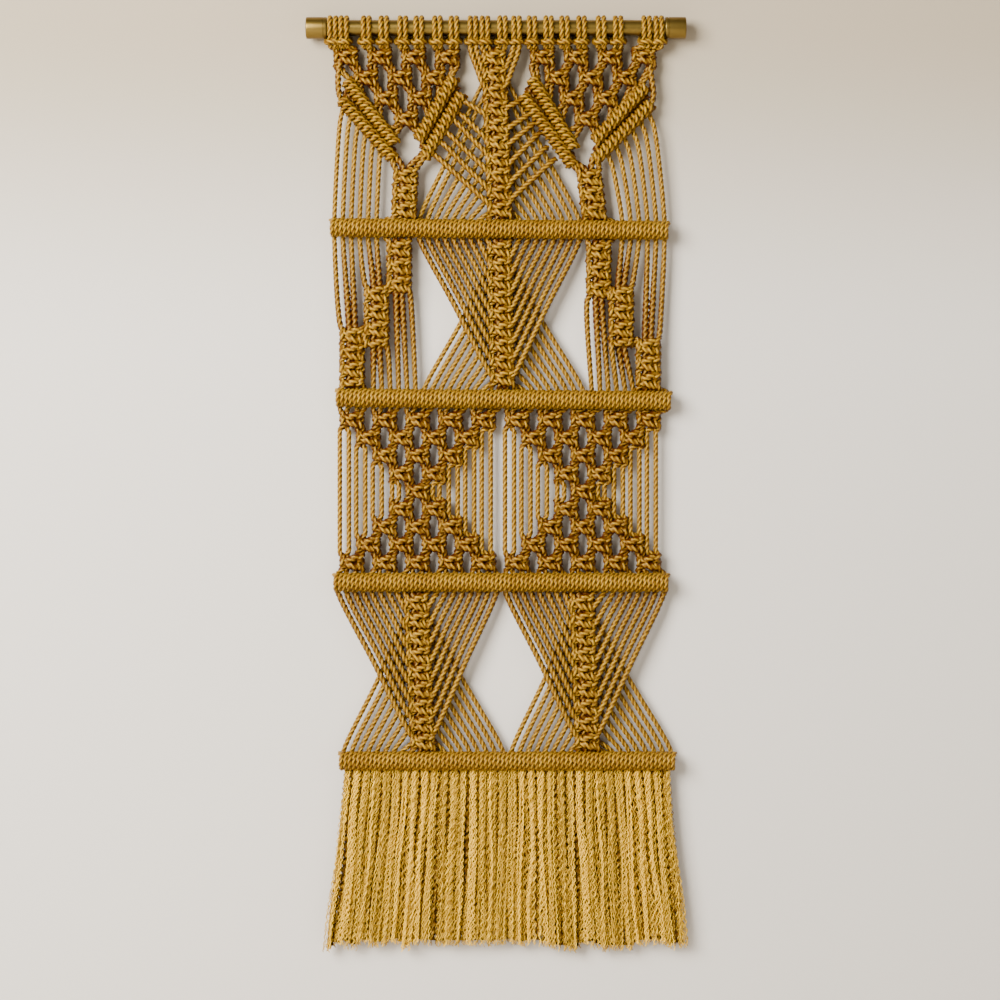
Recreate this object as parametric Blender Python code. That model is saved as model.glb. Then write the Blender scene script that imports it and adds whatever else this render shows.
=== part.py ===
"""Macrame wall hanging on a brass rod.

Forty cords are mounted on the rod by twenty larks' heads and knotted into four bands,
each closed by a horizontal bar of double half hitches, with an unravelled fringe below.
The origin is the middle of the rod's axis. The face looks to -Y and the wall is behind, at +Y.
Sizes are in millimetres: x is measured across from the rod's middle and a drop down from
its axis. They become metres in make_object.
"""
import math
import random
from collections import namedtuple

import bmesh
import bpy
from mathutils import Vector

METRE = 0.001
GAP = 0.3                 # clearance between two pieces

# the rod and its caps
ROD_RADIUS = 8.0
ROD_HALF_LENGTH = 183.0
CAP_RADIUS = 11.0
CAP_OUTER_X = 190.0
CAP_INNER_X = 169.0
CAP_CHAMFER = 1.2
ROUND_SIDES = 24

# the cord and the knots tied with it
CORD = 4.5                # across one cord
STRAND = 4.9              # across a four-sided strand, point to point
PAIR = 9.6                # across two cords that run side by side
FRONT_LAYER = -2.7        # y of the cords that lie in front
BACK_LAYER = 2.6          # y of the cords that pass behind
KNOT_DEPTH = 12.5
KNOT_WIDTH = 20.0
KNOT_HEIGHT = 16.0
BRAID_WIDTH = 25.5
HITCH_WIDTH = 14.0
HITCH_DEPTH = 14.5
BAR_RADIUS = 9.75
BAR_Y = -2.0
BAR_RIDGES = 20           # one ridge for two cords
VALLEY = 0.84             # a ridged knot's girth between two ridges
RIDGED_SIDES = 6
STRAND_SIDES = 3
CORDS = 40
KEPT_FACES = 0.65         # of the faces that the union cuts, most are slivers

# larks' heads
HEAD_WIDTH = 10.0
HEAD_SIDES = 6
BIGHT_DROP = 14.5
HEADS_X = (-163.0, -152.0, -129.5, -112.0, -93.0, -77.0, -58.5, -42.0, -23.0, -11.0,
           6.5, 20.5, 36.0, 52.5, 68.5, 85.5, 105.0, 122.0, 150.5, 162.6)

Bar = namedtuple("Bar", "left right drop_left drop_right")
BARS = (
    Bar(-166.0, 173.0, 199.2, 202.2),
    Bar(-160.3, 175.5, 369.5, 372.2),
    Bar(-162.6, 172.9, 554.2, 554.2),
    Bar(-157.1, 179.6, 732.8, 732.8),
)

# a line of half hitches or a braid of half knots, from its top to its bottom
Line = namedtuple("Line", "x0 drop0 x1 drop1 ridges")
HITCHES_LEFT = (Line(-159.0, 44.0, -102.0, 118.0, 5), Line(-153.0, 70.0, -100.0, 133.0, 5),
                Line(-39.0, 44.0, -79.0, 118.0, 5), Line(-33.0, 61.0, -78.0, 131.0, 5))
HITCHES_RIGHT = (Line(33.0, 47.0, 75.0, 121.0, 5), Line(27.0, 63.0, 77.0, 138.0, 5),
                 Line(156.0, 50.0, 96.0, 116.0, 5), Line(156.0, 71.0, 98.0, 131.0, 5))
BRAIDS_TOP = (Line(-89.5, 129.0, -92.5, 195.0, 3), Line(90.0, 132.0, 98.5, 196.0, 3))
STAIRS_LEFT = (Line(-97.0, 207.0, -97.0, 265.4, 3), Line(-119.5, 257.6, -119.5, 319.0, 3),
               Line(-144.0, 299.4, -144.0, 364.0, 3))
STAIRS_RIGHT = (Line(102.5, 208.0, 102.5, 271.0, 3), Line(125.0, 258.6, 125.0, 319.0, 3),
                Line(152.0, 310.5, 152.0, 366.0, 3))

# a leaf: a braid with eight cords a side that run in over its front and out behind it
LEAF_CORDS = 8
Leaf = namedtuple("Leaf", "braid left_joins right_joins left_cord right_cord")
LEAF_TOP = Leaf(Line(-2.4, 17.0, 4.0, 196.0, 10), (47.0, 180.0), (47.0, 180.0), 10, 29)
LEAF_MIDDLE = Leaf(Line(3.1, 208.0, 6.4, 364.0, 9), (236.7, 350.4), (232.6, 351.2), 10, 29)
LEAF_LEFT = Leaf(Line(-80.0, 560.0, -72.7, 728.0, 9), (586.0, 711.0), (583.0, 708.0), 0, 19)
LEAF_RIGHT = Leaf(Line(85.7, 560.0, 91.6, 728.0, 9), (586.0, 711.0), (583.0, 708.0), 20, 39)

# the V nets of the first band
V_ROWS = 4
V_DROP = 29.3
V_ROW_STEP = 20.6
V_SPACING = 33.8
V_LEFT = (-99.5, 3.2)     # x of the first row's middle, and its drift for each row down
V_RIGHT = (97.0, -2.1)
V_CORDS = 6               # cords that drop from each outer hitch bar
V_CORD_FIRST = 0.03       # share of the bar where the first of them drops
V_CORD_STEP = 0.145
V_JOIN_FIRST = 0.1        # the same for the cords that leave the inner bar
V_JOIN_STEP = 0.15
STAIR_SPREAD = 6.0        # between the cords that enter a small braid
LINK_REACH = 5.0          # from a knot's middle to each pair that leaves it

# the hourglass nets of the third band
NET_ROWS = (5, 4, 3, 2, 1, 2, 3, 4, 5)
NET_DROP = 392.0
NET_ROW_STEP = 17.8
NET_SPACING = 32.9
NET_X = (-78.5, 86.8)

# the fringe
FRINGE_END = 920.0
FRINGE_LEFT = -174.0
FRINGE_RIGHT = 196.0
LOCKS = 60
LOCK_WIDTH = 4.4
LOCK_DEPTH = 6.0
STRIP_HEIGHT = 4.0
STRIP_DEPTH = 9.0


def material(name, colour, roughness, metallic=0.0):
    """A Principled material."""
    made = bpy.data.materials.new(name)
    made.use_nodes = True
    shader = made.node_tree.nodes["Principled BSDF"]
    shader.inputs["Base Color"].default_value = (*colour, 1.0)
    shader.inputs["Roughness"].default_value = roughness
    shader.inputs["Metallic"].default_value = metallic
    return made


def make_object(name, bm, finish):
    """An object of the given mesh, scaled from millimetres to metres."""
    bmesh.ops.scale(bm, vec=(METRE,) * 3, verts=bm.verts)
    bmesh.ops.recalc_face_normals(bm, faces=bm.faces)
    mesh = bpy.data.meshes.new(name)
    bm.to_mesh(mesh)
    bm.free()
    mesh.materials.append(finish)
    made = bpy.data.objects.new(name, mesh)
    bpy.context.scene.collection.objects.link(made)
    return made


def loft(bm, rings):
    """Skin rings of points into one closed solid, with flat ends."""
    sides = len(rings[0])
    rows = [[bm.verts.new(point) for point in ring] for ring in rings]
    for upper, lower in zip(rows, rows[1:]):
        for i in range(sides):
            j = (i + 1) % sides
            bm.faces.new((upper[i], upper[j], lower[j], lower[i]))
    bm.faces.new(rows[0][::-1])
    bm.faces.new(rows[-1])


def at(x, drop, y=0.0):
    """The point at x, a drop below the rod's axis, and a depth y."""
    return Vector((x, y, -drop))


def cross_section(middle, along, width, depth, sides):
    """A flattened ring of points round an axis that lies in the hanging's plane."""
    across = Vector((along.z, 0.0, -along.x)).normalized()
    turn = -math.pi / 2 if sides == 3 else 0.0      # three sides turn an edge to the front
    ring = []
    for i in range(sides):
        angle = turn + 2 * math.pi * i / sides
        ring.append(middle + across * (width / 2 * math.cos(angle))
                    + Vector((0.0, depth / 2 * math.sin(angle), 0.0)))
    return ring


def strand(bm, points, width=STRAND, depth=STRAND):
    """Cords run through the points, as one four-sided strand."""
    rings = []
    for i, point in enumerate(points):
        along = points[min(i + 1, len(points) - 1)] - points[max(i - 1, 0)]
        rings.append(cross_section(point, along, width, depth, STRAND_SIDES))
    loft(bm, rings)


def ridged(bm, start, end, ridges, width, depth):
    """Knots tied one after another, as a bar with a ridge for each."""
    rings = []
    steps = 2 * ridges
    for i in range(steps + 1):
        girth = 1.0 if i % 2 else VALLEY
        middle = start.lerp(end, i / steps)
        rings.append(cross_section(middle, end - start, width * girth, depth * girth, RIDGED_SIDES))
    loft(bm, rings)


def lerp(a, b, t):
    """The value a share t of the way from a to b."""
    return a + (b - a) * t


def bar_point(bar, cord, y=0.0):
    """Where a cord, counted from 0 at the left, crosses a bar's middle."""
    edge = BAR_RADIUS * 0.43
    share = cord / (CORDS - 1)
    x = lerp(bar.left + edge, bar.right - edge, share)
    return at(x, lerp(bar.drop_left, bar.drop_right, share), y)


def under_bar(bar, cord, y=0.0):
    """The same crossing moved just below the bar, where the next node starts."""
    return bar_point(bar, cord, y) - Vector((0.0, 0.0, BAR_RADIUS + GAP + 0.2))


def hitch_bar(bm, bar):
    """A horizontal bar of double half hitches."""
    ridged(bm, at(bar.left, bar.drop_left, BAR_Y), at(bar.right, bar.drop_right, BAR_Y),
           BAR_RIDGES, 2 * BAR_RADIUS, 2.3 * BAR_RADIUS)


def braid(bm, line, width=BRAID_WIDTH, depth=KNOT_DEPTH):
    """A braid of half knots, or a slanting bar of half hitches."""
    ridged(bm, at(line.x0, line.drop0), at(line.x1, line.drop1), line.ridges, width, depth)


def square_knot(bm, x, drop, ridges):
    """One square knot of a net."""
    half = KNOT_HEIGHT / 2
    ridged(bm, at(x, drop - half), at(x, drop + half), ridges, KNOT_WIDTH, KNOT_DEPTH)


def net_link(bm, upper, lower):
    """The two cords that run from one knot down to the next row's."""
    side = math.copysign(LINK_REACH, lower[0] - upper[0])
    strand(bm, [at(upper[0] + side, upper[1] + 4.0), at(lower[0] - side, lower[1] - 4.0)],
           PAIR, STRAND)


def larks_head(bm, x):
    """A larks' head: two cords round the rod, and the bight that ties them below it."""
    inner = (ROD_RADIUS + GAP) / math.cos(math.pi / HEAD_SIDES)
    outer = inner + CORD
    corners = []
    for side in (-HEAD_WIDTH / 2, HEAD_WIDTH / 2):
        for radius in (inner, outer):
            corners.append([])
            for i in range(HEAD_SIDES):
                angle = 2 * math.pi * (i + 0.5) / HEAD_SIDES
                corners[-1].append(bm.verts.new((x + side, radius * math.cos(angle),
                                                 radius * math.sin(angle))))
    order = (corners[0], corners[1], corners[3], corners[2])
    for ring, following in zip(order, order[1:] + order[:1]):
        for i in range(HEAD_SIDES):
            j = (i + 1) % HEAD_SIDES
            bm.faces.new((ring[i], following[i], following[j], ring[j]))
    half = HEAD_WIDTH / 2 + 0.5
    ends = [at(x - half, BIGHT_DROP, -1.2), at(x + half, BIGHT_DROP, -1.2)]
    loft(bm, [cross_section(end, ends[1] - ends[0], 7.5, 9.5, 4) for end in ends])


def v_knots(middle, drift):
    """The rows of a V net, each knot as x and drop."""
    rows = []
    for row in range(V_ROWS):
        count = V_ROWS - row
        x = middle + drift * row
        rows.append([(x + (k - (count - 1) / 2) * V_SPACING, V_DROP + row * V_ROW_STEP)
                     for k in range(count)])
    return rows


def net_links(bm, rows):
    """Link each knot to its nearest neighbours in the next row."""
    for upper_row, lower_row in zip(rows, rows[1:]):
        for upper in upper_row:
            for lower in lower_row:
                if abs(upper[0] - lower[0]) < 0.75 * NET_SPACING:
                    net_link(bm, upper, lower)


def hitched_v(bm, outer, inner, middle, drift, first_head, outward):
    """A V net of square knots between two pairs of slanting hitch bars."""
    rows = v_knots(middle, drift)
    for row in rows:
        for x, drop in row:
            square_knot(bm, x, drop, 1)
    net_links(bm, rows)
    for k, (x, drop) in enumerate(rows[0]):
        for i in (0, 1):
            head_x = HEADS_X[first_head + 2 * k + i]
            strand(bm, [at(head_x, BIGHT_DROP), at(x + (2 * i - 1) * LINK_REACH, drop - 4.0)], PAIR, STRAND)
    for line in outer + inner:
        braid(bm, line, HITCH_WIDTH, HITCH_DEPTH)
    for row, knots in enumerate(rows):
        for line, knot, side in ((outer[0], knots[0 if outward < 0 else -1], outward),
                                 (inner[0], knots[-1 if outward < 0 else 0], -outward)):
            share = min(0.95, (row + 0.75) / V_ROWS)
            end = at(lerp(line.x0, line.x1, share), lerp(line.drop0, line.drop1, share))
            strand(bm, [at(knot[0] + side * LINK_REACH, knot[1] + 3.0), end], PAIR, STRAND)


def on_line(line, share, y=0.0):
    """A point a share of the way along a braid or a slanting bar."""
    return at(lerp(line.x0, line.x1, share), lerp(line.drop0, line.drop1, share), y)


def leaf(bm, shape, left_tops, right_tops, bar):
    """A braid with the cords that run in over its front and fan out behind to the next bar."""
    braid(bm, shape.braid)
    last = LEAF_CORDS - 1
    for side, tops, joins in ((-1, left_tops, shape.left_joins), (1, right_tops, shape.right_joins)):
        for k in range(LEAF_CORDS):
            drop = lerp(joins[0], joins[1], k / last)
            share = (drop - shape.braid.drop0) / (shape.braid.drop1 - shape.braid.drop0)
            x = lerp(shape.braid.x0, shape.braid.x1, share) + side * (BRAID_WIDTH / 2 - 4.0)
            strand(bm, [tops[k], at(x, drop, FRONT_LAYER)])
            foot = shape.left_cord + k if side < 0 else shape.right_cord - k
            strand(bm, [at(x, drop, BACK_LAYER), bar_point(bar, foot, BACK_LAYER)])


def leaf_tops(shape, bar):
    """The crossings of the bar above that a leaf's cords leave, the innermost first."""
    last = LEAF_CORDS - 1
    left = [bar_point(bar, shape.left_cord + last - k, FRONT_LAYER) for k in range(LEAF_CORDS)]
    right = [bar_point(bar, shape.right_cord - last + k, FRONT_LAYER) for k in range(LEAF_CORDS)]
    return left, right


def top_band(bm):
    """Larks' heads, V nets, hitch bars and the middle braid, down to the first bar."""
    for x in HEADS_X:
        larks_head(bm, x)
    hitched_v(bm, HITCHES_LEFT[:2], HITCHES_LEFT[2:], *V_LEFT, 0, -1)
    hitched_v(bm, HITCHES_RIGHT[2:], HITCHES_RIGHT[:2], *V_RIGHT, 12, 1)
    for line in BRAIDS_TOP:
        braid(bm, line)
    for k in range(V_CORDS):
        share = V_CORD_FIRST + V_CORD_STEP * k
        strand(bm, [on_line(HITCHES_LEFT[1], share), bar_point(BARS[0], k)])
        strand(bm, [on_line(HITCHES_RIGHT[3], share), bar_point(BARS[0], CORDS - 1 - k)])
    left, right = [], []
    for tops, head_x, side in ((left, HEADS_X[8], -1), (right, HEADS_X[11], 1)):
        tops += [at(head_x - side * 2.5, BIGHT_DROP, FRONT_LAYER),
                 at(head_x + side * 2.5, BIGHT_DROP, FRONT_LAYER)]
    for k in range(LEAF_CORDS - 2):
        share = V_JOIN_FIRST + V_JOIN_STEP * k
        left.append(on_line(HITCHES_LEFT[3], share, FRONT_LAYER))
        right.append(on_line(HITCHES_RIGHT[1], share, FRONT_LAYER))
    for head_x in HEADS_X[9:11]:
        strand(bm, [at(head_x, BIGHT_DROP), at(LEAF_TOP.braid.x0 + 0.5 * (head_x - 1.5), 22.0)],
               PAIR, STRAND)
    leaf(bm, LEAF_TOP, left, right, BARS[0])


def ladder_band(bm):
    """Stairs of small braids at both sides of a leaf, from the first bar to the second."""
    for stairs, side, first in ((STAIRS_LEFT, 1, 0), (STAIRS_RIGHT, -1, CORDS - 1)):
        for line in stairs:
            braid(bm, line)
        inner, middle, outer = stairs
        for k in range(3):
            spread = side * (k - 1) * STAIR_SPREAD
            strand(bm, [bar_point(BARS[0], first + side * k),
                        at(outer.x0 + spread, outer.drop0 + 3.0)])
            strand(bm, [bar_point(BARS[0], first + side * (3 + k)),
                        at(middle.x0 + spread, middle.drop0 + 3.0)])
            strand(bm, [at(middle.x1 + spread, middle.drop1 - 3.0),
                        bar_point(BARS[1], first + side * (4 + k))])
            strand(bm, [at(inner.x1 + spread, inner.drop1 - 3.0),
                        bar_point(BARS[1], first + side * (7 + k))])
    leaf(bm, LEAF_MIDDLE, *leaf_tops(LEAF_MIDDLE, BARS[0]), BARS[1])


def hourglass_net(bm, middle, first_cord):
    """A net that narrows to one knot and widens again, with straight cords at its sides."""
    rows = []
    for row, count in enumerate(NET_ROWS):
        rows.append([(middle + (k - (count - 1) / 2) * NET_SPACING, NET_DROP + row * NET_ROW_STEP)
                     for k in range(count)])
    for row in rows:
        for x, drop in row:
            square_knot(bm, x, drop, 1)
    net_links(bm, rows)
    for k in range(NET_ROWS[0]):
        for i in (0, 1):
            cord = first_cord + 4 * k + 2 * i + 0.5
            side = (2 * i - 1) * LINK_REACH
            top = rows[0][k][1]
            x_below, bottom = rows[-1][k]
            start = under_bar(BARS[1], cord)
            start.x = rows[0][k][0] + side
            strand(bm, [start, at(start.x, top + 2.0)], PAIR, STRAND)
            strand(bm, [at(x_below + side, bottom + 3.0), bar_point(BARS[2], cord)], PAIR, STRAND)
    for row in range(len(NET_ROWS) // 2):
        for knot, side in ((0, -1), (-1, 1)):
            x, top = rows[row][knot]
            bottom = rows[-1 - row][knot][1]
            inset = min(16.0, 0.45 * (bottom - top))
            for start, offset in ((7.0, 13.0), (2.0, 4.5)):
                strand(bm, [at(x + side * start, top + 4.0), at(x + side * offset, top + inset),
                            at(x + side * offset, bottom - inset),
                            at(x + side * start, bottom - 4.0)])


def fuse(name, bar, bands, finish):
    """One solid of a hitch bar and all that is knotted to it."""
    bm = bmesh.new()
    hitch_bar(bm, bar)
    body = make_object(name, bm, finish)
    bm = bmesh.new()
    for band in bands:
        band(bm)
    cords = make_object(name + "_cords", bm, finish)
    cords.hide_render = True
    cords.display_type = "WIRE"
    union = body.modifiers.new("fuse", "BOOLEAN")
    union.operation = "UNION"
    union.solver = "EXACT"
    union.use_self = True
    union.object = cords
    thin = body.modifiers.new("merge_small_faces", "DECIMATE")
    thin.ratio = KEPT_FACES
    return body


def upper_cords(bm):
    """All that hangs from the rod down to the second bar, but for the first bar."""
    hitch_bar(bm, BARS[1])
    top_band(bm)
    ladder_band(bm)


def lower_cords(bm):
    """All below the second bar, but for the third."""
    hitch_bar(bm, BARS[3])
    for middle, first_cord in zip(NET_X, (0, CORDS // 2)):
        hourglass_net(bm, middle, first_cord)
    for shape in (LEAF_LEFT, LEAF_RIGHT):
        leaf(bm, shape, *leaf_tops(shape, BARS[2]), BARS[3])


def fringe(finish):
    """The unravelled cord ends, on the narrow strip where they leave the last bar."""
    bar = BARS[3]
    top = bar.drop_left + BAR_RADIUS + GAP
    bm = bmesh.new()
    left = at(bar.left, top + STRIP_HEIGHT / 2)
    right = at(bar.right, top + STRIP_HEIGHT / 2)
    ends = []
    for end in (left, right):
        ends.append([end + Vector((0.0, y * STRIP_DEPTH / 2, z * STRIP_HEIGHT / 2))
                     for y, z in ((-1, -1), (1, -1), (1, 1), (-1, 1))])
    loft(bm, ends)
    strip = make_object("fringe", bm, finish)
    bm = bmesh.new()
    shake = random.Random(7)
    for i in range(LOCKS):
        share = (i + 0.5) / LOCKS
        x_top = lerp(bar.left + 1.0, bar.right - 1.0, share)
        x_end = lerp(FRINGE_LEFT, FRINGE_RIGHT, share)
        y = 0.6 if i % 2 else -0.6
        end = FRINGE_END + shake.uniform(-7.0, 4.0)
        rings = []
        for t, girth in ((0.0, 0.85), (0.35, 1.0), (0.7, 1.08), (1.0, 0.6)):
            sway = 0.25 * math.sin(7.0 * t + i) * (t > 0)
            middle = at(lerp(x_top, x_end, t ** 1.2) + sway, lerp(top + STRIP_HEIGHT / 2, end, t), y)
            rings.append(cross_section(middle, Vector((0.0, 0.0, -1.0)), LOCK_WIDTH * girth * 1.1,
                                       LOCK_DEPTH * girth, 3))
        loft(bm, rings)
    locks = make_object("fringe_locks", bm, finish)
    locks.hide_render = True
    locks.display_type = "WIRE"
    union = strip.modifiers.new("fuse", "BOOLEAN")
    union.operation = "UNION"
    union.solver = "EXACT"
    union.use_self = True
    union.object = locks


def turned(name, profile, finish):
    """A solid of revolution about the rod's axis, from its radius at each x."""
    bm = bmesh.new()
    rings = []
    for x, radius in profile:
        ring = []
        for i in range(ROUND_SIDES):
            angle = 2 * math.pi * (i + 0.5) / ROUND_SIDES
            ring.append((x, radius * math.cos(angle), radius * math.sin(angle)))
        rings.append(ring)
    loft(bm, rings)
    made = make_object(name, bm, finish)
    made.data.shade_smooth()
    made.data.set_sharp_from_angle(angle=math.radians(30))
    return made


def end_cap(name, side, finish):
    """A cap with a blind socket that the rod's end sits in."""
    socket = (ROD_RADIUS + GAP) / math.cos(math.pi / ROUND_SIDES)
    floor = side * (ROD_HALF_LENGTH + GAP)
    return turned(name, [
        (floor, socket), (side * CAP_INNER_X, socket),
        (side * CAP_INNER_X, CAP_RADIUS - CAP_CHAMFER),
        (side * (CAP_INNER_X + CAP_CHAMFER), CAP_RADIUS),
        (side * (CAP_OUTER_X - CAP_CHAMFER), CAP_RADIUS),
        (side * CAP_OUTER_X, CAP_RADIUS - CAP_CHAMFER),
    ], finish)


def main():
    for old in list(bpy.data.objects):
        bpy.data.objects.remove(old, do_unlink=True)
    brass = material("brass", (0.72, 0.53, 0.26), 0.3, 1.0)
    cotton = material("ochre_cord", (0.55, 0.36, 0.12), 0.8)
    loose = material("ochre_fringe", (0.62, 0.43, 0.17), 0.85)
    turned("brass_rod", [(-ROD_HALF_LENGTH, ROD_RADIUS), (ROD_HALF_LENGTH, ROD_RADIUS)], brass)
    end_cap("end_cap_left", -1, brass)
    end_cap("end_cap_right", 1, brass)
    fuse("panel_upper", BARS[0], [upper_cords], cotton)
    fuse("panel_lower", BARS[2], [lower_cords], cotton)
    fringe(loose)


main()
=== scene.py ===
"""Macrame wall hanging on a brass rod: the cords, knots, fringe and finishes."""

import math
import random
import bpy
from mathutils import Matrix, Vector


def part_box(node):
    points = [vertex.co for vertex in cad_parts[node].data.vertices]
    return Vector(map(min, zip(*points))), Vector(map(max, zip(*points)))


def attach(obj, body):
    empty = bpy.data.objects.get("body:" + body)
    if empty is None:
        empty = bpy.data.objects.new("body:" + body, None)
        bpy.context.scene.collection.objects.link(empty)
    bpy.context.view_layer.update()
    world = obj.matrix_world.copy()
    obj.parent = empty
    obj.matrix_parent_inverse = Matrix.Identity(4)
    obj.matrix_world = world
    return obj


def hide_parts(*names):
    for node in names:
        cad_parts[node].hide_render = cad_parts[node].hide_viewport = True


bl_info = {
    "name": "Macrame wall hanging",
    "version": (1, 0, 0),
    "blender": (4, 5, 0),
    "location": "View3D > Sidebar > Hanging",
    "description": "Knots a macrame hanging from twisted cord on a brass rod",
    "category": "Add Mesh",
}

import bpy
from mathutils import Vector

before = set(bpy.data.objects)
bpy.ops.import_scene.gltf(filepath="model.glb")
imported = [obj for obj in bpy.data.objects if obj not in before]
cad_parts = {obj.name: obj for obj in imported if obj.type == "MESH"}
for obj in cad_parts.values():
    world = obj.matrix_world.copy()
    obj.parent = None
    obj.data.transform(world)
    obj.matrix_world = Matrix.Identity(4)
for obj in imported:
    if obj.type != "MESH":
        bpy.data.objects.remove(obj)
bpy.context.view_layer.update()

METRE = 0.001  # the layout below is in millimetres
TURN = 2 * math.pi

# ---------------------------------------------------------------- the hanging's layout
# x is measured across from the rod's middle, y is depth with the wall at +y,
# and a drop is measured down from the rod's axis.
ROD_RADIUS = 8.0
CAP_LIP = 1.0  # the rounding of a cap's inner lip
CAP_EDGE = 1.4  # and of its outer edge
CAP_GROOVE = ((3.0, 0.0), (3.3, 0.35), (3.7, 0.35), (4.0, 0.0))  # outward from the lip, depth
CORD_RADIUS = 2.7
BAR_RADIUS = 10.1  # over the wraps
BAR_PITCH = 4.24  # from wrap to wrap
BAR_PLIES = 8  # plies in one wrap of a bar, so that they line up along it
BAR_TURN = 0.994  # the length of a wrap's straight steps beside its true circle
FIRST_BAR_SEED = 20
BAR_Y = -1.5
BAR_EDGE = 4.2  # from a bar's end to its outermost cord
BAR_INSET = 0.8  # from a bar's end to its last wrap's middle
CORE_INSET = 1.0  # and to the end of its held cords
BAR_BEHIND = 6.0  # how far behind a bar's middle the cords pass
BAR_TUCK = 1.5  # how far inside a bar's edge a cord is gone from sight
FRONT_Y = -2.6  # cords that lie in front in a leaf
BACK_Y = 4.0  # cords that fan out behind
HANG_Y = 1.8  # cords that hang straight
CORDS = 40
HEADS_X = (-163.0, -152.0, -129.5, -112.0, -93.0, -77.0, -58.5, -42.0, -23.0, -11.0,
           6.5, 20.5, 36.0, 52.5, 68.5, 85.5, 105.0, 122.0, 150.5, 162.6)
HEAD_SPREAD = 2.75  # from a larks' head's middle to each of its cords
HEAD_EXIT = (-2.2, 18.5)  # y and drop of a cord where it leaves its larks' head

# left end, right end, and the drop at each of them
BARS = ((-166.0, 173.0, 199.8, 202.6), (-160.3, 175.5, 369.9, 372.6),
        (-162.6, 172.9, 554.4, 554.4), (-157.1, 179.6, 732.8, 732.8))

# slanting hitch bars: x and drop of the top, then of the bottom
SLANTS = {
    "left_outer": (-149.6, 52.7, -100.8, 115.9), "left_outer_low": (-155.0, 71.5, -103.0, 130.5),
    "left_inner": (-41.9, 49.5, -78.2, 112.5), "left_inner_low": (-34.0, 66.0, -71.5, 129.0),
    "right_inner": (35.5, 50.0, 78.0, 121.0), "right_inner_low": (26.5, 67.0, 77.0, 138.0),
    "right_outer": (149.8, 58.0, 98.0, 113.6), "right_outer_low": (155.0, 76.0, 98.5, 132.0),
}
SLANT_Y = -0.5
SLANT_RADIUS = 4.6
SLANT_PITCH = 5.9
SLANT_BACK = 4.0  # how deep the cords pass behind a slanting bar
# where a net's cords go in behind a slanting bar and where the edge cords come out, as
# shares of its length: the first one and the pitch
SLANT_IN = (0.06, 0.13)
SLANT_OUT = (0.03, 0.145)
SLANT_LAST = 0.97  # and no cord goes in beyond this

# braids of square knots: x and drop of the top and the bottom, knots, first cord
BRAIDS_TOP = ((-90.0, 140.0, -92.5, 190.5, 3, 6), (92.5, 142.0, 98.5, 191.5, 3, 30))
STAIRS_LEFT = ((-97.0, 212.0, -97.0, 265.4, 3, 6), (-119.5, 257.6, -119.5, 319.0, 3.5, 3),
               (-144.0, 299.4, -144.0, 358.5, 3.5, 0))
STAIRS_RIGHT = ((102.5, 214.0, 102.5, 271.0, 3, 30), (125.0, 258.6, 125.0, 318.5, 3.5, 33),
                (152.0, 310.5, 152.0, 361.7, 3, 36))

# leaves: x and drop of the braid's top, then of its bottom, its knots, the first of the
# leaf's twenty cords, and the bars above and below it
LEAVES = {
    "leaf_top": (-2.4, 19.0, 4.0, 190.0, 10, 10, None, 0),
    "leaf_middle": (3.1, 212.5, 6.4, 358.0, 9, 10, 0, 1),
    "leaf_left": (-80.0, 565.0, -72.7, 722.0, 9, 0, 2, 3),
    "leaf_right": (85.7, 565.0, 91.6, 722.0, 9, 20, 2, 3),
}
LEAF_SIDE = 8  # cords at each side of a leaf's braid
# drops where those cords meet the braid, at the left and the right: all of them in the top
# leaf, and the first and the last in the others
JOINS = {
    "leaf_top": {-1: (47.0, 62.0, 91.0, 115.0, 130.0, 147.0, 165.0, 180.0),
                 1: (44.0, 60.0, 84.0, 105.0, 121.0, 140.0, 159.0, 176.0)},
    "leaf_middle": {-1: (236.7, 350.4), 1: (232.6, 351.2)},
    "leaf_left": {-1: (586.0, 711.0), 1: (583.0, 708.0)},
    "leaf_right": {-1: (586.0, 711.0), 1: (583.0, 708.0)},
}
# all but two of the top leaf's cords come off the inner slanting bars: x and drop of each
TOP_STARTS = {-1: ((-32.0, 73.0), (-33.0, 88.0), (-42.0, 92.0), (-48.4, 105.0), (-53.6, 115.0),
                   (-61.2, 127.0)),
              1: ((22.5, 74.0), (31.0, 88.0), (36.0, 97.0), (40.5, 108.0), (47.5, 122.0),
                  (55.6, 134.0))}

# the nets: knots and drops of their rows, and how far apart the knots of a row are
V_ROWS = 4
V_DROP = 29.3
V_STEP = 20.6
V_SPACING = 33.8
V_LEFT = (-99.5, 3.2, 0)  # x of the first row's middle, its drift a row, first cord
V_RIGHT = (97.0, -2.1, 24)
NET_ROWS = (5, 4, 3, 2, 1, 2, 3, 4, 5)
NET_DROP = 392.0
NET_STEP = 17.8
NET_SPACING = 32.9
NET_X = (-78.5, 86.8)

# the fringe
LOCKS = 34
FRINGE_TOP = 742.0
FRINGE_END = 921.0
FRINGE_LEFT = -172.0  # the two ends of its lower edge
FRINGE_RIGHT = 192.0
FLARE_POWER = 1.15  # a lock hangs straight at first, then flares
LOCK_WIDTHS = (0.78, 1.2)  # the narrowest and the widest lock, beside a usual one
LOCK_SHAKE = 1.4  # how uneven the locks' ends are across,
END_SHAKE = 4.0  # in their drop,
BEND_SHAKE = 1.1  # and along their way
LOCK_DEPTHS = (-1.2, 0.6)
CORE_THICK = 1.45  # the heart of each lock, beside a cord
# the core's swelling also paints it darker with the painted shade of knots: painted shade in the gaps
# between the locks
CORE_SWELL = 1.12
CORE_COARSE = 3.0  # its mesh is that much coarser than a cord's
CORE_Y = 4.0
CORE_END = 0.85  # and it ends before the fibres do

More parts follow.
